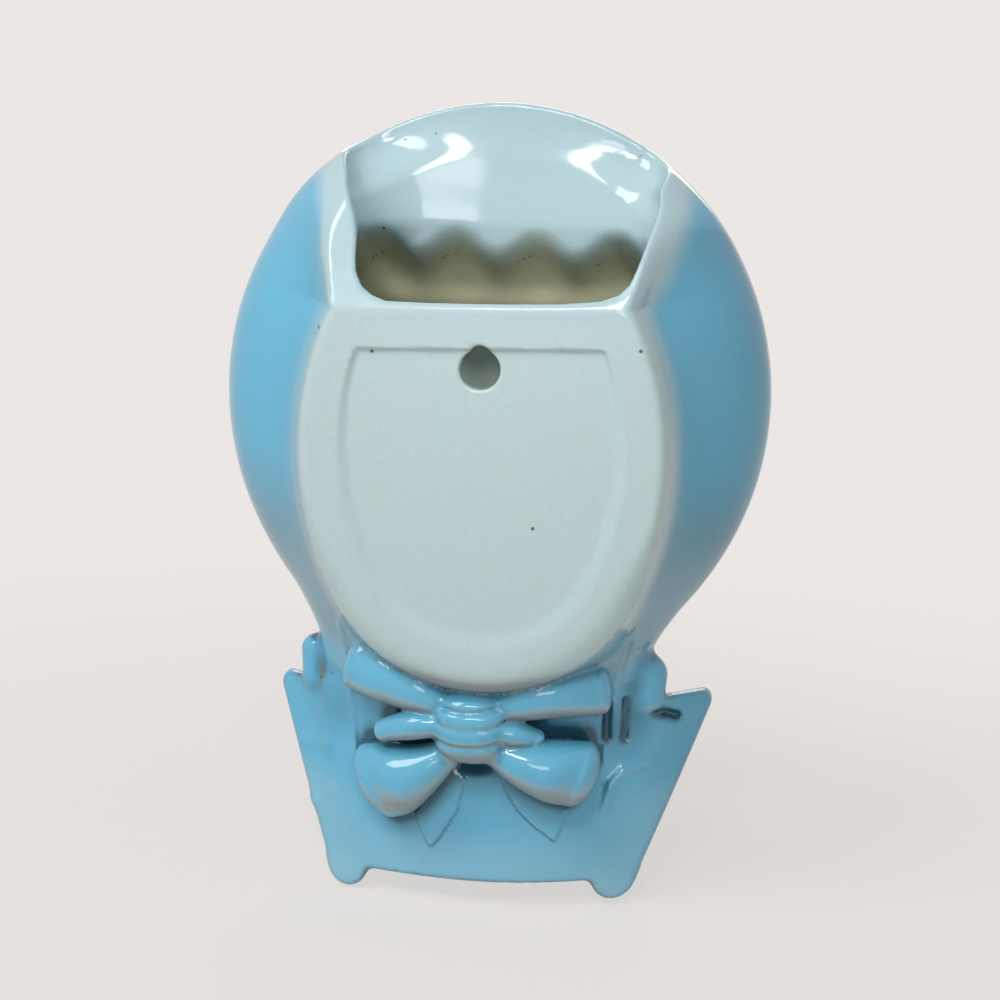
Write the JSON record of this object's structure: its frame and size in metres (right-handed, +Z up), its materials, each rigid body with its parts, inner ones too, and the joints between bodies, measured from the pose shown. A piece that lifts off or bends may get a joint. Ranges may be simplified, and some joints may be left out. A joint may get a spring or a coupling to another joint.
{
  "type": "hanging wall vase",
  "caption": "Glazed ceramic wall pocket in the form of a round bonnet with a ribbon bow and a flared collar, hung by a keyhole in its flat back.",
  "frame": {"origin": "middle of the hanging hole, on the floor of the plate's recess", "axes": "+Z up as it hangs, +X to the right seen from the wall side, -Y towards the wall along the hanging hole"},
  "size_m": [0.124, 0.0719, 0.1784],
  "materials": {
    "white_glaze": "gloss glaze",
    "bonnet_glaze": "gloss glaze, airbrushed blue over white",
    "blue_glaze": "gloss glaze, light blue"
  },
  "bodies": {
    "root": {"rear_plate": "white_glaze", "pocket_back": "bonnet_glaze", "pocket_front": "bonnet_glaze", "neck": "blue_glaze", "collar": "blue_glaze", "bow_knot": "blue_glaze", "bow_loop_upper_left": "blue_glaze", "bow_loop_upper_right": "blue_glaze", "bow_loop_lower_left": "blue_glaze", "bow_loop_lower_right": "blue_glaze", "bow_fold_left": "blue_glaze", "bow_fold_right": "blue_glaze", "bow_tail_left": "blue_glaze", "bow_tail_right": "blue_glaze", "gather_outer_left": "blue_glaze", "gather_outer_right": "blue_glaze", "gather_inner_left": "blue_glaze", "gather_inner_right": "blue_glaze", "neck_ribbon": "blue_glaze", "front_frill": "white_glaze", "front_pleats": "bonnet_glaze"}
  },
  "joints": []
}
